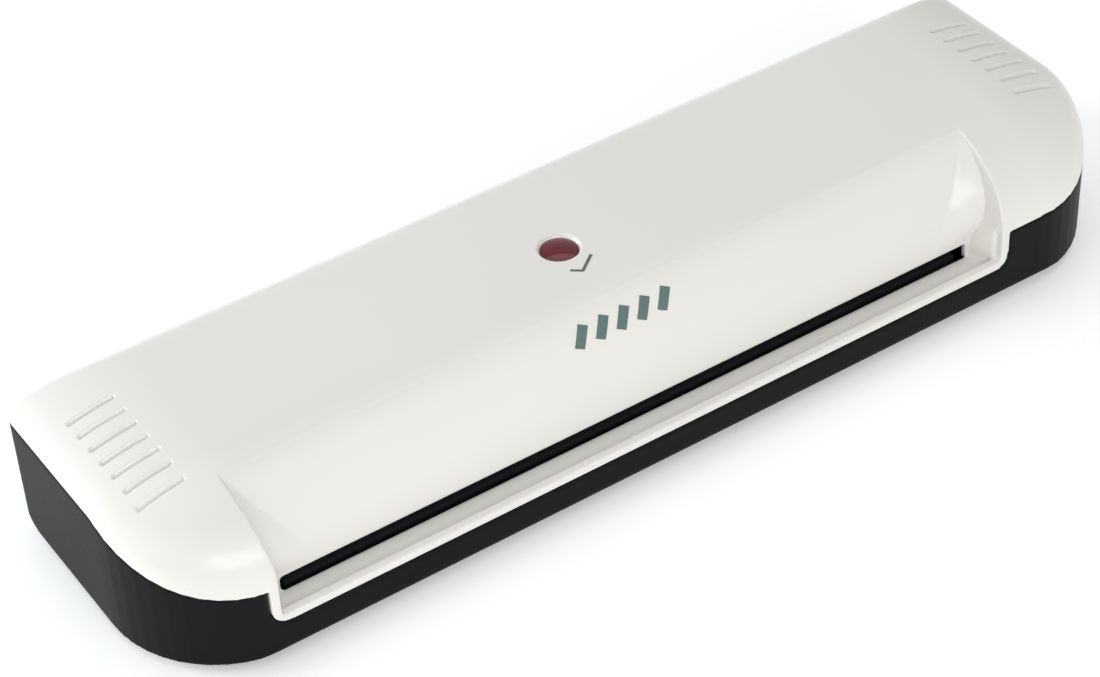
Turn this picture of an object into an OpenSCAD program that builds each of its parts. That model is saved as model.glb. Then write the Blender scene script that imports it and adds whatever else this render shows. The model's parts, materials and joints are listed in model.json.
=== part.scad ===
// Pouch laminator for sheets up to A4: a white top cover with a recessed entry mouth on a
// charcoal base, with the heated plates, pull rollers and gear motor on a steel frame inside.
// Millimetres. +X runs to the right of someone feeding a pouch, +Y to the back, +Z up.
// The origin is the centre of the footprint, on the surface that the feet stand on.

/* [Body] */
// Overall length, left to right
body_l = 331; // [320:1:400]
// Overall depth, front to back
body_d = 90; // [86:1:115]
// Overall height, feet included
body_h = 51; // [50:1:62]
// Wall of the cover and of the base
wall = 2.2; // [1.6:0.1:2.6]
// Gap between the cover and the base along the seam
seam_gap = 0.3; // [0.2:0.1:0.6]
// Radius of the front corners in plan, along X
corner_x = 36; // [24:1:38]
// Radius of the front corners in plan, along Y
corner_y = 36; // [25:1:38]
// Radius of the rear corners in plan
rear_corner_r = 5; // [4:1:10]
// Radius of the long rounding at the back of the top
rear_top_r = 12; // [8:1:14]
// Radius of the rounding where the base's floor meets its back wall
rear_floor_r = 11; // [6:1:12]
// Radius of the edge between the floor and the front wall
front_floor_r = 2.6; // [2.4:0.1:4]
// Depth, front to back, over which the top rounds down to the front
nose_l = 33; // [28:1:36]
// Height of that rounding
nose_h = 24; // [20:1:26]
// Length over which the top rolls down at each end
end_roll_l = 33; // [24:1:40]
// Height of that roll
end_roll_h = 9.5; // [6:0.5:10]
// Height of the seam along the front
seam_front_z = 25.5; // [24:0.5:28]
// Height of the seam along the ends and the back
seam_side_z = 40; // [36:0.5:42]

/* [Mouth] */
// How far the mouth, with the rollers and vents, sits to the left of the body's middle
mouth_off = 9; // [0:0.5:9]
// Clear width of the entry slot
slot_w = 236; // [225:1:240]
// Clear height of the entry and exit slots
slot_h = 4.4; // [4.2:0.1:5]
// Height of the middle of the pouch path
path_z = 16.5; // [16.2:0.1:18]
// How far the entry slot sits behind the front of the body
slot_setback = 10; // [8:0.5:12]
// Width of the mouth frame at the front of the body
mouth_w = 252; // [248:1:256]
// Thickness of the mouth frame along its front edge
rim_t = 2.8; // [2:0.1:3.4]
// Height of the frame's front edge reckoned above the tray floor
rim_up = 1.6; // [1:0.1:2.5]
// Corner radius of the mouth frame
rim_r = 5; // [4:0.5:6]
// How far behind the front of the body the flares beside the mouth start
flare_back = 26; // [22:1:28]

/* [Vents] */
// Number of vent grooves at each end
vent_n = 7; // [5:1:7]
// Distance between vent grooves
vent_pitch = 6.45; // [5.5:0.05:6.6]
// Length of a vent groove
vent_l = 14.5; // [12:0.5:16]
// Width of a vent groove
vent_w = 1.9; // [1.5:0.1:2.4]
// Distance from the middle of the body to the middle of a groove
vent_mid = 148.9; // [146:0.2:150]

/* [Indicator] */
// Diameter of the indicator lens
lens_d = 11; // [8:0.5:13]
// Diameter of the dished seat around the lens
lens_seat_d = 13; // [12:0.5:16]
// Distance of the lens behind the middle of the body
lens_back = 2.5; // [1:0.5:4]
// Distance of the lens to the left of the middle of the mouth
lens_left = 1.6; // [0:0.2:3]

/* [Rollers] */
// Diameter of a roller over its silicone sleeve
roller_d = 10.7; // [10.6:0.1:10.9]
// Gap between the rollers, which a pouch squeezes through
nip_gap = 0.3; // [0.1:0.1:0.4]
// Length of the silicone sleeves
sleeve_l = 228; // [220:1:234]
// Diameter of the roller shafts
shaft_d = 5; // [4:0.5:5.5]
// Distance of the rollers behind the middle of the body
roller_back = 8; // [6:0.5:12]
// Radial clearance of a shaft in its bushes
bush_clear = 0.05; // [0.02:0.01:0.09]
// Radius of a bush where it passes through the side plate
bush_r = 4.2; // [4:0.1:4.4]
// Radius of a bush's flanges
bush_flange_r = 5.1; // [4.9:0.1:5.2]

/* [Gears] */
// Teeth on each roller gear
roller_teeth = 22; // [22:2:22]
// Teeth on the motor gear
motor_teeth = 44; // [40:2:46]
// Width of the gears
gear_w = 6; // [4:0.5:7]
// Play between meshing teeth, measured round the pitch circle
backlash = 0.16; // [0.1:0.01:0.2]

/* [Frame] */
// Thickness of the steel side plates
plate_t = 1.2; // [1:0.1:1.6]
// Distance between the inner faces of the side plates
plate_gap = 244; // [242:1:246]
// Diameter of the tie bars between the side plates
tie_d = 6; // [5:0.5:7]

/* [Motor] */
// Diameter of the gear motor's can
motor_d = 36; // [30:1:36]
// Length of the gear motor's can
motor_l = 20; // [12:1:22]
// Height of the motor's shaft
motor_z = 26; // [25:0.5:27]

/* [Heater] */
// Depth of the heated plates, front to back
heater_d = 20; // [16:1:21]
// Thickness of each heated plate
heater_t = 3.2; // [2.4:0.2:3.6]
// Gap between the two heated plates
heater_gap = 1.6; // [1.2:0.1:2.4]

/* [Switch and cord entry] */
// Width of the power switch's bezel
switch_w = 15; // [13:0.5:17]
// Height of the power switch's bezel
switch_h = 19; // [17:0.5:19]
// Angle of the rocker either side of level
rocker_deg = 8; // [5:1:10]
// Diameter of the cord that the gland takes
cord_d = 6.5; // [5:0.5:8]

/* [Feet] */
// Diameter of a rubber foot
foot_d = 12; // [8:1:14]
// How far the feet stand below the floor of the base
foot_h = 2.5; // [2:0.5:3.5]

/* [Hidden] */
$fn = 48;
eps = 0.01;
half_l = body_l / 2;
half_d = body_d / 2;
floor_z = foot_h;
inner_floor_z = floor_z + wall;

// Pieces are drawn about the middle of the mouth, and this moves them to the body's own frame
module placed() { translate([-mouth_off, 0, 0]) children(); }

// Names of the pieces, one solid or one set of alike solids each

// Heights of the entry slot's edges, and its place front to back
slot_top_z = path_z + slot_h / 2;
slot_bot_z = path_z - slot_h / 2;
slot_y = -half_d + slot_setback;
rim_top_z = slot_bot_z + rim_up;
rim_bot_z = rim_top_z - rim_t;
mouth_half = mouth_w / 2;

function mix(a, b, t) = a + (b - a) * t;
function blend(t) = t <= 0 ? 0 : t >= 1 ? 1 : t * t * (3 - 2 * t);

// Points of an arc about [cx, cy], radii rx and ry, from angle a to angle b in n steps
function arc(cx, cy, rx, ry, a, b, n) =
    [for (k = [0:n]) [cx + rx * cos(mix(a, b, k / n)), cy + ry * sin(mix(a, b, k / n))]];

// Extrudes a (Y, Z) outline along X, from x0 to x1
module along_x(x0 = -body_l, x1 = body_l) {
    translate([x0, 0, 0]) rotate([90, 0, 90]) linear_extrude(x1 - x0) children();
}

// Extrudes an (X, Z) outline along Y over the whole depth
module along_y() {
    translate([0, half_d + 1, 0]) rotate([90, 0, 0]) linear_extrude(body_d + 2) children();
}

// Plan outline of the body, inset by i
module plan(i) {
    a = half_l - i;
    d = half_d - i;
    rx = corner_x - i;
    ry = corner_y - i;
    rr = max(rear_corner_r - i, 1);
    translate([mouth_off, 0]) polygon(concat(
        arc(a - rr, d - rr, rr, rr, 0, 90, 5), arc(-a + rr, d - rr, rr, rr, 90, 180, 5),
        arc(-a + rx, -d + ry, rx, ry, 180, 270, 12), arc(a - rx, -d + ry, rx, ry, 270, 360, 12)));
}

// Height of the seam at a distance y from the middle: low along the front, high behind it
seam_lo_y = -half_d;
seam_hi_y = -half_d + corner_y + 3;
function rise(t) = (blend(t) + t) / 2;
function seam_z(y) = mix(seam_front_z, seam_side_z, rise((y - seam_lo_y) / (seam_hi_y - seam_lo_y)));
seam_curve = [for (k = [0:10]) let (y = mix(seam_lo_y, seam_hi_y, k / 10)) [y, seam_z(y)]];

// Side outline (Y, Z) of the whole body, inset by i: floor, long rounding at the back of the
// top, and the nose
module side_outline(i) {
    rf = max(rear_floor_r - i, 1);
    ff = max(front_floor_r - i, 0.3);
    rt = rear_top_r - i;
    ny = nose_l - i;
    nz = nose_h - i;
    d = half_d - i;
    z0 = floor_z + i;
    z1 = body_h - i;
    polygon(concat(
        arc(-d + ff, z0 + ff, ff, ff, 180, 270, 4), arc(d - rf, z0 + rf, rf, rf, 270, 360, 8),
        arc(d - rt, z1 - rt, rt, rt, 0, 90, 8), arc(-d + ny, z1 - nz, ny, nz, 90, 180, 16)));
}

// End outline (X, Z) of the whole body, inset by i: the top rolls down at both ends
module end_outline(i) {
    a = half_l - i;
    z1 = body_h - i;
    rx = end_roll_l - i;
    rz = end_roll_h - i;
    translate([mouth_off, 0]) polygon(concat([[-a, floor_z + i], [a, floor_z + i]],
        arc(a - rx, z1 - rz, rx, rz, 0, 90, 12), arc(-a + rx, z1 - rz, rx, rz, 90, 180, 12)));
}

// The whole body as one solid, inset by i
module body_form(i) {
    intersection() {
        along_x() side_outline(i);
        linear_extrude(body_h + 1) plan(i);
        along_y() end_outline(i);
    }
}

// Everything above the seam, raised by up, or below it
module above_seam(up) {
    along_x() polygon(concat([[-half_d - 1, seam_front_z + up]],
        [for (p = seam_curve) [p[0], p[1] + up]],
        [[half_d + 1, seam_side_z + up], [half_d + 1, body_h + 1], [-half_d - 1, body_h + 1]]));
}
module below_seam() {
    along_x() polygon(concat([[-half_d - 1, 0], [half_d + 1, 0], [half_d + 1, seam_side_z]],
        [for (k = [10:-1:0]) seam_curve[k]], [[-half_d - 1, seam_front_z]]));
}

// The hollow in front of the entry slot. Its back falls in a curve from the flares' tips on the
// nose to the slot, and its sides lean outwards and spread to the mouth frame. Grown by g.
nose_mid_y = -half_d + nose_l;
tip_y = -half_d + flare_back;
tip_z = body_h - nose_h + nose_h * sqrt(1 - pow((tip_y - nose_mid_y) / nose_l, 2));
bend_y = mix(slot_y, tip_y, 0.475);
bend_z = tip_z - 1.3;
flare_knee_z = slot_top_z + 8;
function bend(a, b, c, t) = mix(mix(a, b, t), mix(b, c, t), t);
module mouth_hollow(g) {
    w = slot_w / 2 + 1 + g;
    m = mouth_half - rim_t + g;
    e = mouth_half - 0.8 + g;
    zb = slot_bot_z - g;
    back = [for (k = [0:9]) [bend(slot_y + g, bend_y + 0.75 * g, tip_y + 0.15 * g, k / 9),
        bend(slot_top_z, bend_z - 0.9 * g, tip_z - g, k / 9)]];
    intersection() {
        along_x() polygon(concat([[slot_y + g, zb]], back, [[tip_y + 0.15 * g, body_h + 3],
            [-half_d - 2, body_h + 3], [-half_d - 2, zb]]));
        along_y() polygon([[-w, zb - 1], [w, zb - 1], [w, slot_top_z], [mix(w, e, 0.55), flare_knee_z],
            [e, tip_z], [e, body_h + 4], [-e, body_h + 4], [-e, tip_z],
            [-mix(w, e, 0.55), flare_knee_z], [-w, slot_top_z]]);
    }
    translate([0, 0, zb]) linear_extrude(body_h) polygon([[-w, slot_y + g], [w, slot_y + g],
        [m, -half_d + 1], [m, -half_d - 2], [-m, -half_d - 2], [-m, -half_d + 1]]);
}

// Front outline (X, Z) of the mouth frame, inset by i, with its lower corners rounded
module mouth_outline(i, z_top) {
    r = max(rim_r - i, 0.5);
    m = mouth_half - i;
    z0 = rim_bot_z + i;
    polygon(concat(arc(m - r, z0 + r, r, r, 270, 360, 5), [[m, z_top], [-m, z_top]],
        arc(-m + r, z0 + r, r, r, 180, 270, 5)));
}

// Places for the case screws, and their sizes
case_screws_at = [for (s = [-1, 1]) each [[s * (half_l - 24) + mouth_off, -half_d + 13],
    [s * (half_l - 8.5) + mouth_off, half_d - 12]]];
boss_r = 3.4;
boss_split_z = 12;
pilot_r = 1.25;
screw_r = 1.22;
screw_head_r = 2.7;

module vent_grooves() {
    for (s = [-1, 1]) for (k = [0:vent_n - 1])
        translate([mouth_off + s * vent_mid, vent_rear_y - k * vent_pitch, 0]) {
            for (e = [-1, 1]) translate([e * (vent_l - vent_w) / 2, 0, 0])
                cylinder(r = vent_w / 2, h = body_h + 1);
            translate([-(vent_l - vent_w) / 2, -vent_w / 2, 0]) cube([vent_l - vent_w, vent_w, body_h + 1]);
        }
}
vent_rear_y = half_d - 22.7;
vent_depth = 1.3;
lens_y = lens_back;
lens_x = -lens_left;

module top_cover() {
    color("#e9e8e2") placed() difference() {
        union() {
            difference() {
                intersection() { body_form(0); above_seam(seam_gap); }
                difference() { body_form(wall); mouth_hollow(wall); }
                mouth_hollow(0);
            }
            mouth_frame();
            for (p = case_screws_at) intersection() {
                translate([p[0], p[1], boss_split_z]) cylinder(r = boss_r, h = body_h);
                body_form(wall / 2);
            }
            translate([lens_x, lens_y, holder_top_z - 7.5]) cylinder(r = lens_d / 2 + 2, h = 14.5);
        }
        for (p = case_screws_at) translate([p[0], p[1], boss_split_z - eps]) cylinder(r = pilot_r, h = 14);
        difference() {
            vent_grooves();
            body_form(vent_depth);
        }
        translate([lens_x, lens_y, 0]) {
            translate([0, 0, body_h - 1.2]) cylinder(r1 = lens_d / 2, r2 = lens_seat_d / 2 + 0.1, h = 1.3);
            translate([0, 0, holder_top_z - 9]) cylinder(r = lens_d / 2 + 0.1, h = 19);
        }
    }
}

// The mouth frame: a tray below the slot and the walls at its back and sides, all moulded in
// one with the cover
module mouth_frame() {
    difference() {
        intersection() {
            union() {
                translate([0, slot_y + wall, 0]) rotate([90, 0, 0]) linear_extrude(slot_setback + wall)
                    mouth_outline(0, seam_front_z + 1);
                intersection() {
                    mouth_hollow(wall);
                    along_y() mouth_outline(0, body_h + 1);
                }
            }
            body_form(0);
        }
        mouth_hollow(0);
        // the slot, open below behind the tray's back edge
        translate([-slot_w / 2, slot_y - 1, slot_bot_z]) cube([slot_w, wall + 2, slot_h]);
        translate([-slot_w / 2, slot_y, rim_bot_z - 1]) cube([slot_w, wall + 1, slot_h]);
        translate([0, -half_d + rim_t, 0]) rotate([90, 0, 0]) linear_extrude(rim_t + 1)
            mouth_outline(rim_t, body_h);
    }
}

module base_shell() {
    color("#26282a") placed() difference() {
        difference() {
            intersection() { body_form(0); below_seam(); }
            difference() {
                body_form(wall);
                base_bosses();
            }
        }
        // opening for the mouth frame, and the exit slot
        translate([0, slot_y + wall + 1, 0]) rotate([90, 0, 0]) linear_extrude(20)
            mouth_outline(-seam_gap, body_h);
        translate([-slot_w / 2, half_d - 12, slot_bot_z]) cube([slot_w, 20, slot_h]);
        // case screws come up from below
        for (p = case_screws_at) translate([p[0], p[1], 0]) {
            cylinder(r = screw_head_r + 0.3, h = floor_z + 6);
            cylinder(r = 1.7, h = boss_split_z + 1);
        }
        for (p = frame_screws_at) translate([p[0], p[1], inner_floor_z + 0.3])
            cylinder(r = screw_r, h = 20);
        for (p = board_screws_at) translate([p[0], p[1], inner_floor_z + 0.3])
            cylinder(r = screw_r, h = 20);
        for (p = feet_at) translate([p[0], p[1], 0]) cylinder(r = foot_stud_r, h = 20);
        // switch and cord gland seats in the back wall
        translate([switch_x - switch_w / 2, half_d - 1.5, switch_z - switch_h / 2])
            cube([switch_w, 5, switch_h]);
        translate([switch_x - switch_in_w / 2, half_d - 10, switch_z - switch_in_h / 2])
            cube([switch_in_w, 20, switch_in_h]);
        translate([gland_x, half_d - 1.5, gland_z]) rotate([-90, 0, 0]) cylinder(r = gland_flange_r, h = 5);
        translate([gland_x, half_d - 10, gland_z]) rotate([-90, 0, 0]) cylinder(r = gland_r, h = 20);
        // air slots in the floor
        for (s = [-1, 1]) for (k = [0:4])
            translate([s * 60 - 14 + k * 7, -12, 0]) cube([2.4, 26, inner_floor_z + 1]);
    }
}

// Bosses that rise from the floor of the base: for the case screws, the frame and the board
frame_rest_z = 8;
board_rest_z = 10;
module base_bosses() {
    for (p = case_screws_at) translate([p[0], p[1], floor_z])
        cylinder(r = boss_r + 1.1, h = boss_split_z - floor_z);
    for (p = frame_screws_at) translate([p[0], p[1], floor_z]) cylinder(r = 3, h = frame_rest_z - floor_z);
    for (p = board_screws_at) translate([p[0], p[1], floor_z])
        cylinder(r = 2.6, h = board_rest_z - floor_z);
    translate([0, 0, floor_z]) for (p = feet_at) translate([p[0], p[1], 0])
        cylinder(r = foot_stud_r + 1.6, h = wall + 1);
}

// Rubber feet with a stud pushed up through the floor
foot_stud_r = 2.4;
feet_at = [for (sx = [-1, 1]) for (y = [-half_d + 11, half_d - 19]) [sx * (half_l - 36) + mouth_off, y]];
module rubber_feet() {
    color("#1b1b1b") placed() for (p = feet_at) translate([p[0], p[1], 0]) {
        cylinder(r1 = foot_d / 2 - 0.6, r2 = foot_d / 2, h = foot_h);
        cylinder(r = foot_stud_r, h = inner_floor_z + 1.3);
    }
}

// A pan-head screw, head down the negative direction: shank up along +Z from the head's face
module screw(l, r = screw_r, head_r = screw_head_r, head_h = 1.8) {
    difference() {
        union() {
            cylinder(r = r, h = l);
            translate([0, 0, -head_h]) cylinder(r = head_r, h = head_h);
        }
        for (a = [0, 90]) rotate([0, 0, a]) translate([-head_r * 0.65, -0.3, -head_h - 1])
            cube([head_r * 1.3, 0.6, 1.8]);
    }
}

module case_screws() {
    color("#8d9094") placed() for (p = case_screws_at) translate([p[0], p[1], floor_z + 6]) screw(16);
}

// Frame: two steel side plates with feet turned outwards, joined by tie bars
plate_in = plate_gap / 2;
plate_out = plate_in + plate_t;
roller_pitch = roller_d + nip_gap;
lower_z = path_z - roller_pitch / 2;
upper_z = path_z + roller_pitch / 2;
plate_top_z = 42;
tie_at = [[-19, 35], [27, 37]];
frame_foot_l = 10;
frame_screws_at = [for (s = [-1, 1]) each [[s * (plate_out + 5), -20], [s * (plate_out + 5), 29]]];
spring_seat_z = upper_z + bush_flange_r;
spring_h = 7.8;
cap_h = 2;
window_top_z = spring_seat_z + spring_h + cap_h;
standoff_at = [[-26, 13], [18, 36.5], [18.5, 12]];

module side_plate() {
    difference() {
        union() {
            along_x(plate_in, plate_out) polygon([[-28, frame_rest_z], [34, frame_rest_z],
                [34, plate_top_z], [-20, plate_top_z], [-28, plate_top_z - 12]]);
            translate([plate_in, roller_back - 8, inner_floor_z + 0.6]) cube([plate_t, 16, 6]);
            for (y = [-26, 23]) translate([plate_in, y, frame_rest_z])
                cube([plate_t + frame_foot_l, 12, plate_t]);
        }
        for (t = tie_at) translate([plate_in - 1, t[0], t[1]]) rotate([0, 90, 0]) cylinder(r = 1.6, h = 4);
        translate([plate_in - 1, roller_back, lower_z]) rotate([0, 90, 0]) cylinder(r = bush_r, h = 4);
        translate([plate_in - 1, roller_back, upper_z]) rotate([0, 90, 0]) cylinder(r = bush_r, h = 4);
        translate([plate_in - 1, roller_back - bush_r, upper_z])
            cube([4, 2 * bush_r, window_top_z - upper_z]);
        for (p = frame_screws_at) translate([plate_out + 5, p[1], frame_rest_z - 1])
            cylinder(r = 1.5, h = 4);
        children();
    }
}
module right_side_plate() {
    color("#b9bcc0") placed() side_plate()
        for (p = standoff_at) translate([plate_in - 1, p[0], p[1]]) rotate([0, 90, 0])
            cylinder(r = 1.5, h = 4);
}
module left_side_plate() {
    color("#b9bcc0") placed() mirror([1, 0, 0]) side_plate();
}
module tie_bars() {
    color("#c7cacd") placed() for (t = tie_at) translate([-plate_in, t[0], t[1]]) rotate([0, 90, 0])
        difference() {
        cylinder(r = tie_d / 2, h = plate_gap);
        for (z = [-eps, plate_gap - 10]) translate([0, 0, z]) cylinder(r = screw_r, h = 10 + eps);
    }
}
module tie_screws() {
    color("#8d9094") placed() for (s = [-1, 1]) for (t = tie_at)
        translate([s * plate_out, t[0], t[1]]) rotate([0, -90 * s, 0]) screw(9);
}
module plate_screws() {
    color("#8d9094") placed() for (p = frame_screws_at)
        translate([p[0], p[1], frame_rest_z + plate_t]) rotate([180, 0, 0]) screw(4);
}

// Flanged bushes for both roller shafts
module bush() {
    difference() {
        union() {
            translate([plate_in, 0, 0]) rotate([0, 90, 0]) cylinder(r = bush_r, h = plate_t);
            for (x = [plate_in - 1.5, plate_out]) translate([x, 0, 0]) rotate([0, 90, 0])
                cylinder(r = bush_flange_r, h = 1.5);
        }
        translate([plate_in - 3, 0, 0]) rotate([0, 90, 0]) cylinder(r = shaft_d / 2 + bush_clear, h = 8);
    }
}
module roller_bushes() {
    color("#d8d3c4") placed() for (z = [lower_z, upper_z]) translate([0, roller_back, z]) {
        bush();
        mirror([1, 0, 0]) bush();
    }
}

// Coil springs that press the upper bushes down, and the caps that hold them
spring_wire = 0.7;
spring_r = 3;
spring_turns = 5;
spring_sides = 8;
spring_steps = 14;
module coil() {
    h = spring_h - spring_wire - 0.1;
    n = spring_turns * spring_steps;
    rise = atan(h / (spring_turns * 2 * PI * spring_r));
    points = [for (j = [0:n]) for (k = [0:spring_sides - 1])
        let (a = 360 * j / spring_steps, b = 360 * k / spring_sides, u = spring_wire / 2 * cos(b),
            v = spring_wire / 2 * sin(b))
        [(spring_r + u) * cos(a) + v * sin(rise) * sin(a), (spring_r + u) * sin(a) - v * sin(rise) * cos(a),
         h * j / n + v * cos(rise)]];
    side = [for (j = [0:n - 1]) for (k = [0:spring_sides - 1])
        let (p = j * spring_sides + k, q = j * spring_sides + (k + 1) % spring_sides)
        each [[p, q, q + spring_sides], [p, q + spring_sides, p + spring_sides]]];
    polyhedron(points, concat([[for (k = [spring_sides - 1:-1:0]) k]], side,
        [[for (k = [0:spring_sides - 1]) n * spring_sides + k]]));
}
module pressure_springs() {
    color("#9a9da1") placed() for (s = [-1, 1])
        translate([s * (plate_in + plate_t / 2), roller_back, spring_seat_z + spring_wire / 2 + 0.05])
            coil();
}
module spring_caps() {
    color("#d8d3c4") placed() for (s = [-1, 1])
        translate([s * (plate_in + plate_t / 2), roller_back, window_top_z - cap_h]) difference() {
        translate([-plate_t / 2 - 2.4, -bush_r + 0.3, 0]) cube([plate_t + 4.8, 2 * bush_r - 0.6, cap_h]);
        translate([0, 0, -1]) cylinder(r = 1.2, h = cap_h + 2);
    }
}

// Pull rollers: silicone sleeves on steel shafts, with a gear on the right end of each
gear_x = plate_out + 4;
shaft_left = -plate_out - 3;
shaft_right = gear_x + gear_w + 0.6;
module roller_shaft(z) {
    translate([shaft_left, roller_back, z]) rotate([0, 90, 0])
        cylinder(r = shaft_d / 2, h = shaft_right - shaft_left);
}
module roller_sleeve(z) {
    translate([-sleeve_l / 2, roller_back, z]) rotate([0, 90, 0]) difference() {
        cylinder(r = roller_d / 2, h = sleeve_l);
        translate([0, 0, -1]) cylinder(r = shaft_d / 2, h = sleeve_l + 2);
    }
}
module lower_roller_shaft() { color("#c7cacd") placed() roller_shaft(lower_z); }
module upper_roller_shaft() { color("#c7cacd") placed() roller_shaft(upper_z); }
module lower_roller_sleeve() { color("#b5482f") placed() roller_sleeve(lower_z); }
module upper_roller_sleeve() { color("#b5482f") placed() roller_sleeve(upper_z); }

// Involute gears. The module follows from the distance between the rollers.
gear_m = roller_pitch / roller_teeth;
pressure_deg = 20;
function involute(rb, r) = let (t = sqrt(max(pow(r / rb, 2) - 1, 0))) t * 180 / PI - atan(t);
module gear(teeth, w, bore, turn) {
    rp = gear_m * teeth / 2;
    rb = rp * cos(pressure_deg);
    ra = rp + gear_m * 0.92;
    rf = rp - gear_m * 1.2;
    half = 90 / teeth - backlash / 4 / rp * 180 / PI + involute(rb, rp);
    radii = [for (k = [0:4]) mix(max(rb, rf + 0.02), ra, k / 4)];
    outline = [for (t = [0:teeth - 1]) let (c = turn + 360 * t / teeth) each concat(
        [[rf * cos(c - half), rf * sin(c - half)]],
        [for (r = radii) let (a = c - half + involute(rb, r)) [r * cos(a), r * sin(a)]],
        [for (k = [4:-1:0]) let (r = radii[k], a = c + half - involute(rb, r)) [r * cos(a), r * sin(a)]],
        [[rf * cos(c + half), rf * sin(c + half)]])];
    difference() {
        linear_extrude(w) polygon(outline);
        translate([0, 0, -1]) cylinder(r = bore, h = w + 2);
    }
}
// Seen along X the outline's own x axis points to +Y and its y axis to +Z
module gear_at(y, z, teeth, bore, turn) {
    translate([gear_x, y, z]) rotate([90, 0, 90]) gear(teeth, gear_w, bore, turn);
}
pitch_deg = 360 / roller_teeth;
lower_turn = 0;
lower_phase = 90 / pitch_deg - floor(90 / pitch_deg);
upper_turn = 270 - pitch_deg * (0.5 - lower_phase);
module lower_roller_gear() {
    color("#e5e2d8") placed() gear_at(roller_back, lower_z, roller_teeth, shaft_d / 2, lower_turn);
}
module upper_roller_gear() {
    color("#e5e2d8") placed() gear_at(roller_back, upper_z, roller_teeth, shaft_d / 2, upper_turn);
}

// The motor's shaft stands where its gear meshes with the upper roller's gear
motor_reach = gear_m * (roller_teeth + motor_teeth) / 2;
motor_y = roller_back - sqrt(pow(motor_reach, 2) - pow(motor_z - upper_z, 2));
mesh_deg = atan2(motor_z - upper_z, motor_y - roller_back);
mesh_phase = (mesh_deg - upper_turn) / pitch_deg - floor((mesh_deg - upper_turn) / pitch_deg);
motor_turn = mesh_deg + 180 - 360 / motor_teeth * (0.5 - mesh_phase);
motor_shaft_r = 2;
module motor_gear() {
    color("#e5e2d8") placed() gear_at(motor_y, motor_z, motor_teeth, motor_shaft_r, motor_turn);
}
motor_face_x = gear_x + gear_w + 3;
bracket_t = 1.2;
can_x = motor_face_x + bracket_t;
ear_reach = motor_d / 2 + 3.4;
module motor_shaft() {
    color("#c7cacd") placed() translate([gear_x - 0.5, motor_y, motor_z]) rotate([0, 90, 0])
        cylinder(r = motor_shaft_r, h = can_x + 2 - gear_x);
}
module gear_motor() {
    color("#a9adb1") placed() translate([can_x, motor_y, motor_z]) rotate([0, 90, 0]) difference() {
        union() {
            translate([0, 0, 1]) cylinder(r = motor_d / 2, h = motor_l - 1);
            intersection() {
                cylinder(r = ear_reach + 3, h = 1);
                union() {
                    translate([-4, -ear_reach - 4, 0]) cube([8, 2 * ear_reach + 8, 1]);
                    cylinder(r = motor_d / 2, h = 1);
                }
            }
        }
        translate([0, 0, -1]) cylinder(r = motor_shaft_r + 0.08, h = 4);
        for (s = [-1, 1]) translate([0, s * ear_reach, -1]) cylinder(r = 1.5, h = 3);
    }
}
module motor_bracket() {
    color("#b9bcc0") placed() difference() {
        translate([motor_face_x, motor_y - ear_reach - 4, 9])
            cube([bracket_t, 26 - motor_y + ear_reach, 31.5]);
        translate([motor_face_x - 1, motor_y, motor_z]) rotate([0, 90, 0]) cylinder(r = 4, h = 4);
        for (s = [-1, 1]) translate([motor_face_x - 1, motor_y + s * ear_reach, motor_z])
            rotate([0, 90, 0]) cylinder(r = screw_r, h = 4);
        for (p = standoff_at) translate([motor_face_x - 1, p[0], p[1]]) rotate([0, 90, 0])
            cylinder(r = 1.5, h = 4);
    }
}
module motor_standoffs() {
    color("#c7cacd") placed() for (p = standoff_at) translate([plate_out, p[0], p[1]]) rotate([0, 90, 0])
        difference() {
        cylinder(r = 2.2, h = motor_face_x - plate_out);
        for (z = [-eps, motor_face_x - plate_out - 4]) translate([0, 0, z])
            cylinder(r = screw_r, h = 4 + eps);
    }
}
module motor_screws() {
    color("#8d9094") placed() {
        for (s = [-1, 1]) translate([can_x + 1, motor_y + s * ear_reach, motor_z]) rotate([0, -90, 0])
            screw(4);
        for (p = standoff_at) {
            translate([plate_in, p[0], p[1]]) rotate([0, 90, 0]) screw(4, head_h = 1.4);
            translate([can_x, p[0], p[1]]) rotate([0, -90, 0]) screw(4, head_h = 1.4);
        }
    }
}

// Heated plates with a flared entry, their heating strips, and the blocks that hold them
heater_front = -24.5;
heater_back = heater_front + heater_d;
heater_half = plate_in - 3;
module lower_heater_plate() {
    z = path_z - heater_gap / 2;
    color("#cfd1d3") placed() along_x(-heater_half, heater_half) polygon([[heater_front + 1, z - heater_t],
        [heater_back, z - heater_t], [heater_back, z - 0.4], [heater_back - 0.6, z], [heater_front + 3, z],
        [heater_front, z - 1.2], [heater_front, z - heater_t + 0.6]]);
}
module upper_heater_plate() {
    z = path_z + heater_gap / 2;
    color("#cfd1d3") placed() along_x(-heater_half, heater_half)
        polygon([[heater_front, z + 1.2], [heater_front + 3, z],
        [heater_back - 0.6, z], [heater_back, z + 0.4], [heater_back, z + heater_t],
        [heater_front + 1, z + heater_t], [heater_front, z + heater_t - 0.6]]);
}
strip_t = 1.1;
strip_half = heater_half - 10;
strip_low_z = path_z - heater_gap / 2 - heater_t - strip_t;
strip_up_z = path_z + heater_gap / 2 + heater_t;
module lower_heater_strip() {
    color("#a58a55") placed() translate([-strip_half, heater_front + 4, strip_low_z])
        cube([2 * strip_half, heater_d - 8, strip_t]);
}
module upper_heater_strip() {
    color("#a58a55") placed() translate([-strip_half, heater_front + 4, strip_up_z])
        cube([2 * strip_half, heater_d - 8, strip_t]);
}
module heater_mounts() {
    color("#3a3a3c") placed() for (s = [0, 1]) mirror([s, 0, 0])
        translate([heater_half, heater_front + 2, strip_low_z])
            cube([plate_in - heater_half, heater_d - 4, strip_up_z + strip_t - strip_low_z]);
}
heater_mid = (heater_front + heater_back) / 2;
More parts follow.
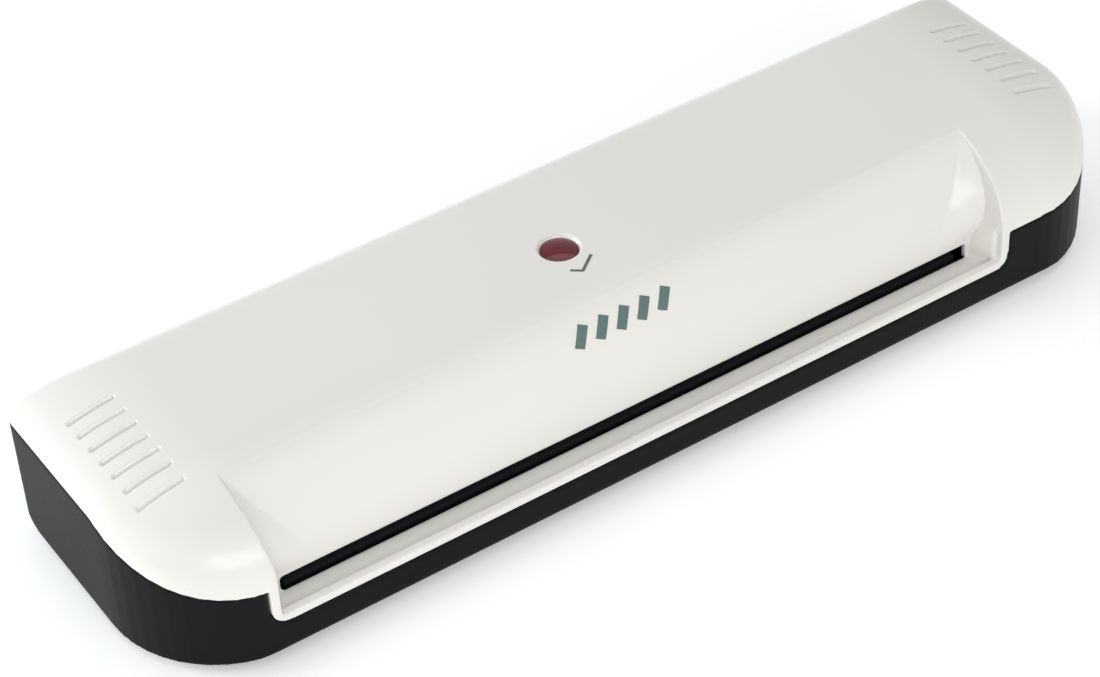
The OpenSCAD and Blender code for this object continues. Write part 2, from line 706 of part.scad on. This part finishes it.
module thermostat() {
    color("#e8e2d0") placed() translate([36, heater_mid, strip_up_z + strip_t]) {
        cylinder(r = 5.5, h = 4);
        cylinder(r = 4.2, h = 6);
        for (s = [-1, 1]) translate([s * 2.4 - 0.4, -2, 6]) cube([0.8, 4, 2.2]);
    }
}
module thermal_fuse() {
    color("#d9d9d6") placed() translate([-44, heater_mid, strip_up_z + strip_t + 1.9]) rotate([0, 90, 0]) {
        cylinder(r = 1.9, h = 11);
        translate([0, 0, -5]) cylinder(r = 0.5, h = 21);
    }
}
shield_z = 30.5;
module heat_shield() {
    color("#c2c5c8") placed() difference() {
        union() {
            translate([-plate_in + 3.5, -26, shield_z]) cube([plate_gap - 7, 54, 0.6]);
            translate([-plate_in + 3.5, -26, shield_z - 5]) cube([plate_gap - 7, 0.6, 5.3]);
            for (s = [0, 1]) mirror([s, 0, 0]) translate([plate_in - 12, 12.5, shield_z])
                cube([12, 12, 0.6]);
        }
        for (x = [-90:30:90]) translate([x, 2, shield_z - 1]) cylinder(r = 4, h = 3);
    }
}

// Guides that lead the pouch into the plates and out of the back
guide_half = slot_w / 2 - 2;
module entry_guide() {
    z = path_z - heater_gap / 2;
    color("#303234") placed() along_x(-guide_half, guide_half)
        polygon([[slot_y + wall + 0.6, slot_bot_z - 5],
        [heater_front - 0.4, slot_bot_z - 5], [heater_front - 0.4, z - 1.3],
            [slot_y + wall + 0.6, slot_bot_z - 0.3]]);
    color("#303234") placed() for (x = [-96:32:96]) translate([x - 1.1, slot_y + wall + 1.6, inner_floor_z])
        cube([2.2, 5, slot_bot_z - 4 - inner_floor_z]);
}
module exit_guide() {
    front = roller_back + roller_d / 2 + 1.6;
    back = half_d - wall - 2.4;
    rib_back = half_d - rear_floor_r - 0.5;
    color("#303234") placed() {
        along_x(-guide_half, guide_half) polygon([[front, slot_bot_z - 2], [back, slot_bot_z - 4.2],
            [back, slot_bot_z - 0.8], [front, path_z - 0.9]]);
        for (x = [-96:32:96]) along_x(x - 1.1, x + 1.1)
            polygon([[front + 2, inner_floor_z], [rib_back, inner_floor_z],
            [rib_back, slot_bot_z - 2], [front + 2, slot_bot_z - 1.4]]);
    }
}

// Control board in the left end, on bosses
board_x = -half_l + mouth_off + 5;
board_w = 17;
board_y = -20;
board_l = 46;
board_screws_at = [[board_x + board_w / 2, board_y + 4], [board_x + board_w / 2, board_y + board_l - 4]];
module circuit_board() {
    color("#2f6b3c") placed() difference() {
        translate([board_x, board_y, board_rest_z]) cube([board_w, board_l, 1.6]);
        for (p = board_screws_at) translate([p[0], p[1], 0]) cylinder(r = 1.5, h = 20);
    }
}
module board_parts() {
    top = board_rest_z + 1.6;
    color("#2b2d30") placed() {
        translate([board_x + 2, board_y + 9, top]) cube([14, 12, 15]);
        translate([board_x + 3, board_y + 23.5, top]) cube([7, 4, 10]);
        translate([board_x + 14, board_y + 25, top]) cylinder(r = 3.2, h = 10);
    }
}
module board_screws() {
    color("#8d9094") placed() for (p = board_screws_at)
        translate([p[0], p[1], board_rest_z + 1.6]) rotate([180, 0, 0]) screw(4, head_h = 1.5);
}
module terminal_block() {
    color("#e4e4de") placed() difference() {
        translate([board_x + 2, board_y + 29, board_rest_z + 1.6]) cube([15, 9, 9]);
        for (k = [0:2]) translate([board_x + 4.5 + k * 5, board_y + 33.5, board_rest_z + 6])
            cylinder(r = 1.4, h = 10);
    }
}

// Indicator: lens in the cover, lamp and its holder below
module indicator_lens() {
    dome_r = 16;
    color("#7d1420") placed() translate([lens_x, lens_y, body_h]) {
        intersection() {
            translate([0, 0, -8]) cylinder(r = lens_d / 2, h = 8);
            translate([0, 0, -dome_r]) sphere(r = dome_r);
        }
    }
}
holder_top_z = body_h - wall - 6;
module lamp_holder() {
    color("#d9d9d2") placed() translate([lens_x, lens_y, holder_top_z - 8]) difference() {
        cylinder(r = lens_d / 2, h = 8);
        translate([0, 0, -1]) cylinder(r = 2.7, h = 10);
    }
}
module indicator_lamp() {
    color("#c98f6a") placed() translate([lens_x, lens_y, holder_top_z - 9]) {
        cylinder(r = 2.5, h = 6.5);
        translate([0, 0, 6.5]) sphere(r = 2.5);
        for (s = [-1, 1]) translate([s * 1.27, 0, -6]) cylinder(r = 0.3, h = 6.5);
    }
}

// Power switch in the back, at the right
switch_x = half_l - 22 + mouth_off;
switch_z = 29;
switch_in_w = switch_w - 3;
switch_in_h = switch_h - 3;
rocker_w = 8.4;
rocker_h = 12;
pivot_y = half_d - 6.4;
module switch_housing() {
    color("#17181a") placed() difference() {
        union() {
            translate([switch_x - switch_w / 2, half_d - 1.5, switch_z - switch_h / 2])
                cube([switch_w, 1.5, switch_h]);
            translate([switch_x - switch_in_w / 2, half_d - 18, switch_z - switch_in_h / 2])
                cube([switch_in_w, 18, switch_in_h]);
        }
        translate([switch_x - rocker_w / 2 - 0.25, half_d - 11.5, switch_z - rocker_h / 2 - 1.1])
            cube([rocker_w + 0.5, 13, rocker_h + 2.2]);
        translate([switch_x - 5.3, pivot_y, switch_z]) rotate([0, 90, 0]) cylinder(r = 1.06, h = 10.6);
    }
}
// The rocker rests with its lower half pressed in, which is off
module switch_rocker() {
    h = rocker_h / 2;
    color("#202226") placed() translate([switch_x, pivot_y, switch_z]) rotate([-rocker_deg, 0, 0]) {
        translate([-5.2, 0, 0]) rotate([0, 90, 0]) cylinder(r = 1, h = 10.4);
        along_x(-rocker_w / 2, rocker_w / 2) polygon([[-1.6, -1.6], [-1.6, 1.6], [1, h], [5.4, h],
            [4.3, 0], [5.4, -h], [1, -h]]);
    }
}
module switch_terminals() {
    color("#c9a24a") placed() for (z = [-5, 0, 5])
        translate([switch_x - 2.4, half_d - 24, switch_z + z - 0.4]) cube([4.8, 6, 0.8]);
}

// Cord gland in the back, at the left, and the nut inside that holds it
gland_x = -half_l + 22 + mouth_off;
gland_z = 29;
gland_r = 6;
gland_flange_r = 8;
module cord_gland() {
    color("#1b1c1e") placed() translate([gland_x, half_d - 12, gland_z]) rotate([-90, 0, 0]) difference() {
        union() {
            cylinder(r = gland_r, h = 12);
            translate([0, 0, 10.5]) cylinder(r = gland_flange_r, h = 1.5);
        }
        translate([0, 0, -1]) cylinder(r = cord_d / 2 + 0.1, h = 14);
    }
}
module gland_nut() {
    color("#1b1c1e") placed() translate([gland_x, half_d - wall - 3.5, gland_z]) rotate([-90, 0, 0])
        difference() {
        cylinder(r = 8.4, h = 3.5, $fn = 6);
        translate([0, 0, -1]) cylinder(r = gland_r, h = 6);
    }
}

top_cover();
base_shell();
indicator_lens();
indicator_lamp();
lamp_holder();
rubber_feet();
case_screws();
left_side_plate();
right_side_plate();
tie_bars();
tie_screws();
plate_screws();
roller_bushes();
spring_caps();
pressure_springs();
lower_roller_shaft();
lower_roller_sleeve();
upper_roller_shaft();
upper_roller_sleeve();
lower_roller_gear();
upper_roller_gear();
motor_gear();
motor_shaft();
gear_motor();
motor_bracket();
motor_standoffs();
motor_screws();
lower_heater_plate();
upper_heater_plate();
lower_heater_strip();
upper_heater_strip();
heater_mounts();
thermostat();
thermal_fuse();
heat_shield();
entry_guide();
exit_guide();
circuit_board();
board_parts();
board_screws();
switch_housing();
switch_rocker();
switch_terminals();
cord_gland();
gland_nut();
terminal_block();
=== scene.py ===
"""Looks for the pouch laminator: a pearl white cover on a charcoal base, in a plain pale studio.

Metres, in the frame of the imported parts: +X right of someone feeding a pouch, +Y back, +Z up.
"""

import json
import math

import bmesh
import bpy
import numpy as np
from mathutils import Matrix, Vector


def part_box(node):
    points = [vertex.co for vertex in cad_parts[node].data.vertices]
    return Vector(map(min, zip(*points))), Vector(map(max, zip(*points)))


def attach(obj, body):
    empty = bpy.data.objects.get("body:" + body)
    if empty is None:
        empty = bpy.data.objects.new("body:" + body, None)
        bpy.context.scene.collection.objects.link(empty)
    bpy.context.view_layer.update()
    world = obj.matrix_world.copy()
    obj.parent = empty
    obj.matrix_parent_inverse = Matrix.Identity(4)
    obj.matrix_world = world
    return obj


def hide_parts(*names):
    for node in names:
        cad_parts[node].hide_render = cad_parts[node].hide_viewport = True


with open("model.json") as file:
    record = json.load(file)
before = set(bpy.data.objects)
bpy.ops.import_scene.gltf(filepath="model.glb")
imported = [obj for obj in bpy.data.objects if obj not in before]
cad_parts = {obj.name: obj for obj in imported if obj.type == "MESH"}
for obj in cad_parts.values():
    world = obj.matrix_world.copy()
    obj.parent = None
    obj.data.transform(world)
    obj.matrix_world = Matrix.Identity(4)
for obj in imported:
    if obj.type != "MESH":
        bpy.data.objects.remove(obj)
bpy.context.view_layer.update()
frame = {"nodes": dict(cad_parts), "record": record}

MM = 0.001

# ---------------------------------------------------------------- sizes, taken from the frame
cover_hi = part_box("top_cover")[1]
base_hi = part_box("base_shell")[1]
lens_lo, lens_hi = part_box("indicator_lens")
guide_lo, guide_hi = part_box("entry_guide")

half_l = base_hi.x
half_d = base_hi.y
top_z = cover_hi.z
mouth_x = (guide_lo.x + guide_hi.x) / 2

# the seam: its height along the ends, along the front, and the depth over which it climbs
seam_side_z = base_hi.z
seam_front_z = seam_side_z - 14.5 * MM
seam_run = 39 * MM

# front corners in plan, the nose, the roll at each end, the rounding at the back, and the height
# of the cover's edge above the seam at the corners
corner_r = 36 * MM
corner_x = half_l - corner_r
corner_y = -half_d + corner_r
nose_l, nose_h = 33 * MM, 24 * MM
end_l, end_h = 33 * MM, 9.5 * MM
rear_r = 12 * MM
edge_lip = 0.7 * MM
least_edge = 0.6 * MM

# the curve that the cover follows from the flares' tips down to the slot, in (Y, Z)
slot_top = np.array([-half_d + 10 * MM, 18.7 * MM])
tip_y = -half_d + 26 * MM
tip_fall = (tip_y + half_d - nose_l) / nose_l
tip = np.array([tip_y, top_z - nose_h + nose_h * math.sqrt(1 - tip_fall ** 2)])
bend = np.array([slot_top[0] + 0.475 * (tip[0] - slot_top[0]), tip[1] - 1.3 * MM])

# the recess, by height: half width between its side walls, half width of its plain middle, and
# how far the flares beside that middle stand forward of it at the walls
recess_z = np.array([slot_top[1], slot_top[1] + 8 * MM, tip[1]])
recess_half = np.array([119, 122.4, 125.2]) * MM
crease_z = np.array([slot_top[1], 50 * MM])
crease_half = np.array([104, 125]) * MM
flare_depth = 5.6 * MM
flare_bend = 1.25
slot_margin = 1.2 * MM
wall_margin = 0.3 * MM
skin = 0.6 * MM


def step(t):
    """0 to 1 with level ends."""
    t = np.clip(t, 0, 1)
    return t * t * (3 - 2 * t)


def seam_at(y):
    """Height of the seam between the cover and the base."""
    t = np.clip((y + half_d) / seam_run, 0, 1)
    return seam_front_z + (seam_side_z - seam_front_z) * (step(t) + t) / 2


def quarter(t):
    """Drop of a quarter ellipse, 0 at t = 0 and 1 at t = 1."""
    return 1 - np.sqrt(1 - np.clip(t, 0, 1) ** 2)


def packed_top(x, y):
    """Height of the cover's top as it is packed: the lower of the side and end outlines."""
    nose = nose_h * quarter((nose_l - half_d - y) / nose_l)
    rear = rear_r * quarter((y - half_d + rear_r) / rear_r)
    side = top_z - nose - rear
    end = top_z - end_h * quarter((np.abs(x) - half_l + end_l) / end_l)
    return np.minimum(side, end)


def smooth_top(x, y):
    """Height of the cover's top with its corners rolled down to the seam in one sweep."""
    ax = np.maximum(np.abs(x) - corner_x, 0) / corner_r
    ay = np.maximum(corner_y - y, 0) / corner_r
    r = np.clip(np.hypot(ax, ay), 1e-9, 1)
    edge_y = np.where(ay > 0, corner_y - corner_r * ay / r, y)
    drop = (top_z - edge_lip - seam_at(edge_y)) * quarter(r)
    back = rear_r * quarter((y - half_d + rear_r) / rear_r)
    both = (drop ** 3 + back ** 3) ** (1 / 3)
    return np.maximum(top_z - both, seam_at(y) + least_edge)


def front_curve(n):
    """Points up the recessed front, from the slot's top to the flares' tips."""
    t = np.linspace(0, 1, n)[:, None]
    return (1 - t) ** 2 * slot_top + 2 * t * (1 - t) * bend + t ** 2 * tip


# ---------------------------------------------------------------- node helpers
def new_material(name):
    material = bpy.data.materials.new(name)
    material.use_nodes = True
    tree = material.node_tree
    return material, tree, tree.nodes["Principled BSDF"]


def position(tree, stretch=(1, 1, 1)):
    """Object coordinates, scaled along each axis."""
    coords = tree.nodes.new("ShaderNodeTexCoord")
    mapping = tree.nodes.new("ShaderNodeMapping")
    mapping.inputs["Scale"].default_value = stretch
    tree.links.new(coords.outputs["Object"], mapping.inputs["Vector"])
    return mapping.outputs["Vector"]


def noise(tree, vector, scale, detail=3.0, rough=0.5):
    node = tree.nodes.new("ShaderNodeTexNoise")
    node.inputs["Scale"].default_value = scale
    node.inputs["Detail"].default_value = detail
    node.inputs["Roughness"].default_value = rough
    tree.links.new(vector, node.inputs["Vector"])
    return node.outputs["Fac"]


def spread(tree, value, low, high, start=0.3, end=0.7):
    """Maps value from start..end to low..high."""
    node = tree.nodes.new("ShaderNodeMapRange")
    node.inputs["From Min"].default_value = start
    node.inputs["From Max"].default_value = end
    node.inputs["To Min"].default_value = low
    node.inputs["To Max"].default_value = high
    tree.links.new(value, node.inputs["Value"])
    return node.outputs["Result"]


def mixed(tree, fac, a, b):
    """Mix of two colours, each a tuple or a socket."""
    node = tree.nodes.new("ShaderNodeMix")
    node.data_type = "RGBA"
    tree.links.new(fac, node.inputs[0])
    for value, socket in ((a, node.inputs[6]), (b, node.inputs[7])):
        if isinstance(value, tuple):
            socket.default_value = (*value, 1)
        else:
            tree.links.new(value, socket)
    return node.outputs[2]


def bump(tree, shader, height, distance, strength=1.0):
    node = tree.nodes.new("ShaderNodeBump")
    node.inputs["Strength"].default_value = strength
    node.inputs["Distance"].default_value = distance
    tree.links.new(height, node.inputs["Height"])
    tree.links.new(node.outputs["Normal"], shader.inputs["Normal"])


def painted_edge_highlight(tree, start, end):
    """Mask of the painted highlight: 1 on the sharp outer edges, 0 elsewhere."""
    geometry = tree.nodes.new("ShaderNodeNewGeometry")
    return spread(tree, geometry.outputs["Pointiness"], 0, 1, start, end)


def plastic(name, colour, shade, rough, grain, depth, gloss=0.0, edge=None, shine=0.5):
    """Moulded plastic: colour varies slowly towards shade, with a fine moulded grain. Given edge, the sharp
    outer edges are painted lighter in that colour, a painted highlight.
    """
    material, tree, shader = new_material(name)
    at = position(tree)
    slow = noise(tree, at, 14, 2)
    fine = noise(tree, at, grain, 2, 0.6)
    tint = mixed(tree, spread(tree, slow, 0, 1), colour, shade)
    # painted highlight: sharp outer edges are laid over with the lighter edge colour, standing in for light
    # caught on them
    if edge:
        tint = mixed(tree, painted_edge_highlight(tree, 0.52, 0.6), tint, edge)
    tree.links.new(tint, shader.inputs["Base Color"])
    tree.links.new(spread(tree, fine, rough - 0.04, rough + 0.05), shader.inputs["Roughness"])
    shader.inputs["Specular IOR Level"].default_value = shine
    shader.inputs["Coat Weight"].default_value = gloss
    shader.inputs["Coat Roughness"].default_value = 0.12
    bump(tree, shader, fine, depth)
    return material


def metal(name, colour, rough, along=(1, 40, 40)):
    """Drawn or rolled metal: fine lines along one axis."""
    material, tree, shader = new_material(name)
    lines = noise(tree, position(tree, along), 60, 4, 0.6)
    dark = tuple(c * 0.82 for c in colour)
    tree.links.new(mixed(tree, spread(tree, lines, 0, 1), colour, dark), shader.inputs["Base Color"])
    tree.links.new(spread(tree, lines, rough - 0.06, rough + 0.1), shader.inputs["Roughness"])
    shader.inputs["Metallic"].default_value = 1.0
    bump(tree, shader, lines, 0.02 * MM)
    return material


def clear_red(name):
    """Dark red translucent plastic of the indicator."""
    material, tree, shader = new_material(name)
    cloud = noise(tree, position(tree), 300, 2)
    tree.links.new(mixed(tree, spread(tree, cloud, 0, 1), (0.10, 0.001, 0.006), (0.14, 0.002, 0.010)),
                   shader.inputs["Base Color"])
    shader.inputs["Roughness"].default_value = 0.08
    shader.inputs["IOR"].default_value = 1.5
    shader.inputs["Coat Weight"].default_value = 0.25
    bump(tree, shader, cloud, 0.02 * MM)
    return material


materials = {
    # the last colour of white_pearl, (0.86, 0.85, 0.82), is its painted edge highlight
    "white_plastic": plastic("white_pearl", (0.80, 0.785, 0.745), (0.775, 0.76, 0.715), 0.34, 1500,
                             0.014 * MM, 0.22, (0.86, 0.85, 0.82)),
    # the last colour of charcoal, (0.022, 0.023, 0.026), is its painted edge highlight
    "black_plastic": plastic("charcoal", (0.0055, 0.0058, 0.0064), (0.0075, 0.0078, 0.0084), 0.46, 2600,
                             0.03 * MM, 0, (0.022, 0.023, 0.026), 0.07),
    "switch_plastic": plastic("switch_black", (0.012, 0.012, 0.013), (0.018, 0.018, 0.02), 0.24, 1800,
                              0.004 * MM),
    "red_lens": clear_red("indicator_red"),
    "lamp_glass": plastic("lamp_amber", (0.75, 0.38, 0.22), (0.7, 0.3, 0.15), 0.12, 900, 0.002 * MM, 0.5),
    "light_nylon": plastic("nylon", (0.72, 0.69, 0.61), (0.66, 0.63, 0.55), 0.42, 1200, 0.01 * MM),
    "rubber": plastic("foot_rubber", (0.016, 0.016, 0.016), (0.028, 0.027, 0.026), 0.7, 1900, 0.03 * MM),
    "silicone": plastic("silicone_red", (0.42, 0.085, 0.045), (0.36, 0.07, 0.04), 0.46, 1300, 0.01 * MM),
    "motor_can": metal("zinc_can", (0.52, 0.53, 0.55), 0.38, (40, 1, 1)),
    "zinc_steel": metal("zinc_steel", (0.6, 0.61, 0.63), 0.34, (30, 1, 30)),
    "bright_steel": metal("bright_steel", (0.7, 0.71, 0.72), 0.2),
    "aluminium": metal("aluminium", (0.74, 0.75, 0.76), 0.32),
    "heater_mica": plastic("mica", (0.40, 0.29, 0.14), (0.3, 0.22, 0.11), 0.4, 800, 0.02 * MM),
    "black_heat_plastic": plastic("phenolic", (0.03, 0.027, 0.025), (0.045, 0.04, 0.036), 0.5, 900,
                                  0.02 * MM),
    "ceramic": plastic("ceramic", (0.78, 0.74, 0.64), (0.72, 0.68, 0.58), 0.4, 1600, 0.01 * MM),
    "board_green": plastic("board_green", (0.02, 0.14, 0.05), (0.03, 0.18, 0.07), 0.3, 700, 0.01 * MM, 0.3),
    "brass": metal("brass", (0.72, 0.53, 0.22), 0.3),
}


def paint(obj, material):
    obj.data.materials.clear()
    obj.data.materials.append(material)


for part in frame["record"]["subparts"]:
    paint(frame["nodes"][part["node"]], materials[part["material_slot"]])


# ---------------------------------------------------------------- moulded shells
def add_bar(mesh, low, high):
    """Adds a box between two corners to a mesh, for the remesh to fuse with it."""
    grown = bmesh.new()
    grown.from_mesh(mesh)
    middle, size = (low + high) / 2, high - low
    place = Matrix.Translation(middle) @ Matrix.Diagonal((*size, 1))
    bmesh.ops.create_cube(grown, size=1, matrix=place)
    grown.to_mesh(mesh)
    grown.free()


def dense_copy(node, name, voxel, passes, bar=None):
    """A fine, even mesh of a CAD node with its edges softly rounded, as a new object."""
    source = frame["nodes"][node]
    obj = bpy.data.objects.new(name, source.data.copy())
    if bar:
        add_bar(obj.data, *bar)
    bpy.context.scene.collection.objects.link(obj)
    remesh = obj.modifiers.new("even", "REMESH")
    remesh.mode = "VOXEL"
    remesh.voxel_size = voxel
    remesh.use_smooth_shade = True
    soften = obj.modifiers.new("soften", "SMOOTH")
    soften.factor = 0.5
    soften.iterations = passes
    graph = bpy.context.evaluated_depsgraph_get()
    mesh = bpy.data.meshes.new_from_object(obj.evaluated_get(graph))
    obj.modifiers.clear()
    obj.data = mesh
    mesh.name = name
    return obj


def read_points(mesh):
    points = np.zeros(len(mesh.vertices) * 3)
    mesh.vertices.foreach_get("co", points)
    return points.reshape(-1, 3)


def write_points(mesh, points):
    mesh.vertices.foreach_set("co", points.astype(np.float32).ravel())
    mesh.update()


def near(distance, full, none):
    """1 within full of a surface, 0 beyond none, smooth between."""
    return step((none - np.abs(distance)) / (none - full))


def shape_cover(points):
    """Rolls the cover's corners and gives its front and top their true curves."""
    x, y, z = points.T.copy()
    curve = front_curve(80)
    on_curve = np.interp(z, curve[:, 1], curve[:, 0])
    across = np.abs(x - mouth_x)
    side, crease = np.interp(z, recess_z, recess_half), np.interp(z, crease_z, crease_half)
    inside = (across < side + wall_margin) & (z > slot_top[1] + slot_margin) & (z < tip[1])
    flare = np.clip((across - crease) / np.maximum(side - crease, 1 * MM), 0, 1) ** flare_bend
    level = np.clip((z - slot_top[1] - slot_margin) / (crease_z[1] - slot_top[1]), 0, 1)
    on_flare = on_curve - flare_depth * flare * np.sin(math.pi * level)
    held = inside & (y > on_flare) & (y < on_curve + skin)
    flat = inside & (across < crease)

    # the plain middle is drawn onto its curve, and the flares stand forward of it
    y += np.where(flat, near(y - on_curve, 0.2 * MM, skin), 0) * (on_curve - y)
    y = np.where(held & ~flat, on_flare, y)

    # everything above the seam follows the top down, and the top's own skin lands exactly on it
    was, now, seam = packed_top(x, y), smooth_top(x, y), seam_at(y)
    share = np.clip((z - seam) / np.maximum(was - seam, 1 * MM), 0, 1)
    moved = z + (now - was) * share
    top = near(z - was, 0.15 * MM, 0.45 * MM) * step((z - seam) / (1.5 * MM))
    return np.column_stack([x, y, moved + top * (now - moved)])


voxel = 0.45 * MM

# the thin raised edge along the front of the mouth frame
rim_half, rim_depth = 123.6 * MM, 2.8 * MM
rim_low_z, rim_high_z = 14.2 * MM, 15.9 * MM
front_rim = (Vector((mouth_x - rim_half, -half_d, rim_low_z)),
             Vector((mouth_x + rim_half, -half_d + rim_depth, rim_high_z)))
cover = dense_copy("top_cover", "cover_shell", voxel, 3, front_rim)
write_points(cover.data, shape_cover(read_points(cover.data)))
paint(cover, materials["white_plastic"])
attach(cover, "machine")
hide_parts("top_cover")

base = dense_copy("base_shell", "base_tub", voxel * 1.3, 4)
paint(base, materials["black_plastic"])
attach(base, "machine")
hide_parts("base_shell")


# ---------------------------------------------------------------- printed marks
def printed(name, strokes, place, width, colour):
    """Ink strokes laid on the cover. Each stroke is a list of flat points, and place puts a flat
    point on the cover."""
    verts, faces = [], []
    for stroke in strokes:
        pts = []
        for a, b in zip(stroke, stroke[1:]):
            n = max(2, int(math.dist(a, b) / (0.5 * MM)))
            pts += [tuple(a[i] + (b[i] - a[i]) * k / n for i in (0, 1)) for k in range(n)]
        pts.append(stroke[-1])
        for k, p in enumerate(pts):
            q, r = pts[max(k - 1, 0)], pts[min(k + 1, len(pts) - 1)]
            d = Vector((r[0] - q[0], r[1] - q[1])).normalized() * width / 2
            verts += [place(p[0] - d.y, p[1] + d.x), place(p[0] + d.y, p[1] - d.x)]
            if k:
                m = len(verts)
                faces.append((m - 4, m - 3, m - 1, m - 2))
    mesh = bpy.data.meshes.new(name)
    mesh.from_pydata(verts, [], faces)
    obj = bpy.data.objects.new(name, mesh)
    bpy.context.scene.collection.objects.link(obj)
    paint(obj, plastic(name + "_ink", colour, tuple(c * 1.15 for c in colour), 0.4, 1400, 0.003 * MM))
    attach(obj, "machine")
    return obj


# how far the ink stands off the cover, and where the tick is, in front of the lens
INK_LIFT = 0.08 * MM
tick_x = (lens_lo.x + lens_hi.x) / 2 + 1 * MM
tick_y = (lens_lo.y + lens_hi.y) / 2 - 10.5 * MM


def on_top(u, v):
    x, y = tick_x + u, tick_y + v
    return (x, y, float(smooth_top(x, y)) + INK_LIFT)


front = front_curve(200)
front_s = np.concatenate([[0], np.cumsum(np.hypot(*np.diff(front, axis=0).T))])
# the bars sit this far up the curve, measured from the slot
MARK_S = 0.73 * front_s[-1]


def on_front(u, v):
    y = float(np.interp(MARK_S + v, front_s, front[:, 0]))
    z = float(np.interp(MARK_S + v, front_s, front[:, 1]))
    drop = float(packed_top(mouth_x + u, y) - smooth_top(mouth_x + u, y))
    return (mouth_x + u, y - INK_LIFT, z - drop * (z - seam_front_z) / (top_z - seam_front_z) + INK_LIFT)


printed("ready_tick", [[(-4.4 * MM, 0), (-1.6 * MM, -2.2 * MM), (4.4 * MM, 2.4 * MM)]], on_top,
        0.9 * MM, (0.12, 0.12, 0.12))
bars = [[(x * MM - 1.6 * MM, -3 * MM), (x * MM + 1.6 * MM, 3 * MM)] for x in (-14, -7, 0, 7, 14)]
printed("feed_bars", bars, on_front, 3.2 * MM, (0.10, 0.165, 0.155))


# ---------------------------------------------------------------- studio
def area_light(name, at, aim, size, power, tint=(1, 1, 1)):
    data = bpy.data.lights.new(name, "AREA")
    data.shape = "RECTANGLE"
    data.size, data.size_y = size
    data.energy = power
    data.color = tint
    obj = bpy.data.objects.new(name, data)
    obj.location = at
    obj.rotation_euler = (Vector(aim) - Vector(at)).to_track_quat("-Z", "Y").to_euler()
    bpy.context.scene.collection.objects.link(obj)


floor_mesh = bpy.data.meshes.new("floor")
floor_mesh.from_pydata([(-6, -6, 0), (6, -6, 0), (6, 6, 0), (-6, 6, 0)], [], [(0, 1, 2, 3)])
floor = bpy.data.objects.new("floor", floor_mesh)
bpy.context.scene.collection.objects.link(floor)
paper = plastic("paper", (0.95, 0.95, 0.95), (0.93, 0.93, 0.93), 0.8, 60, 0.01 * MM)
paper.node_tree.nodes["Principled BSDF"].inputs["Emission Color"].default_value = (1, 1, 1, 1)
paper.node_tree.nodes["Principled BSDF"].inputs["Emission Strength"].default_value = 0.24
paint(floor, paper)

world = bpy.context.scene.world or bpy.data.worlds.new("studio")
bpy.context.scene.world = world
world.use_nodes = True
world.node_tree.nodes["Background"].inputs[0].default_value = (1, 1, 1, 1)
world.node_tree.nodes["Background"].inputs[1].default_value = 0.55

area_light("top_soft", (0.1, 0.25, 1.3), (0, 0, 0), (1.4, 0.9), 2.8)
area_light("left_soft", (-1.1, -0.4, 0.9), (0, 0, 0), (0.8, 0.8), 1.1, (0.93, 0.97, 1))
area_light("front_soft", (-0.4, -1.3, 0.66), (0, 0, 0.03), (1.0, 0.5), 7.4)
area_light("end_soft", (-0.95, 0.75, 0.28), (-0.16, 0, 0.03), (0.5, 0.4), 10.5, (0.84, 0.93, 1))

bpy.context.scene.view_settings.view_transform = "Standard"

# ---------------------------------------------------------------- camera
AZIMUTH, ELEVATION, ROLL = math.radians(-32.3), math.radians(40), math.radians(-3)
reach = math.cos(ELEVATION)
back = Vector((math.sin(AZIMUTH) * reach, -math.cos(AZIMUTH) * reach, math.sin(ELEVATION)))
right = Vector((math.cos(AZIMUTH), math.sin(AZIMUTH), 0))
up = back.cross(right)
rolled_right = right * math.cos(ROLL) + up * math.sin(ROLL)
rolled_up = up * math.cos(ROLL) - right * math.sin(ROLL)
camera_data = bpy.data.cameras.new("camera")
camera_data.lens = 94.9
camera_data.sensor_width = 36
camera = bpy.data.objects.new("camera", camera_data)
turn = Matrix((rolled_right, rolled_up, back)).transposed().to_4x4()
camera_at = (mouth_x - 0.3482, -0.5385, 0.5568)
camera.matrix_world = Matrix.Translation(camera_at) @ turn
bpy.context.scene.collection.objects.link(camera)
bpy.context.scene.camera = camera
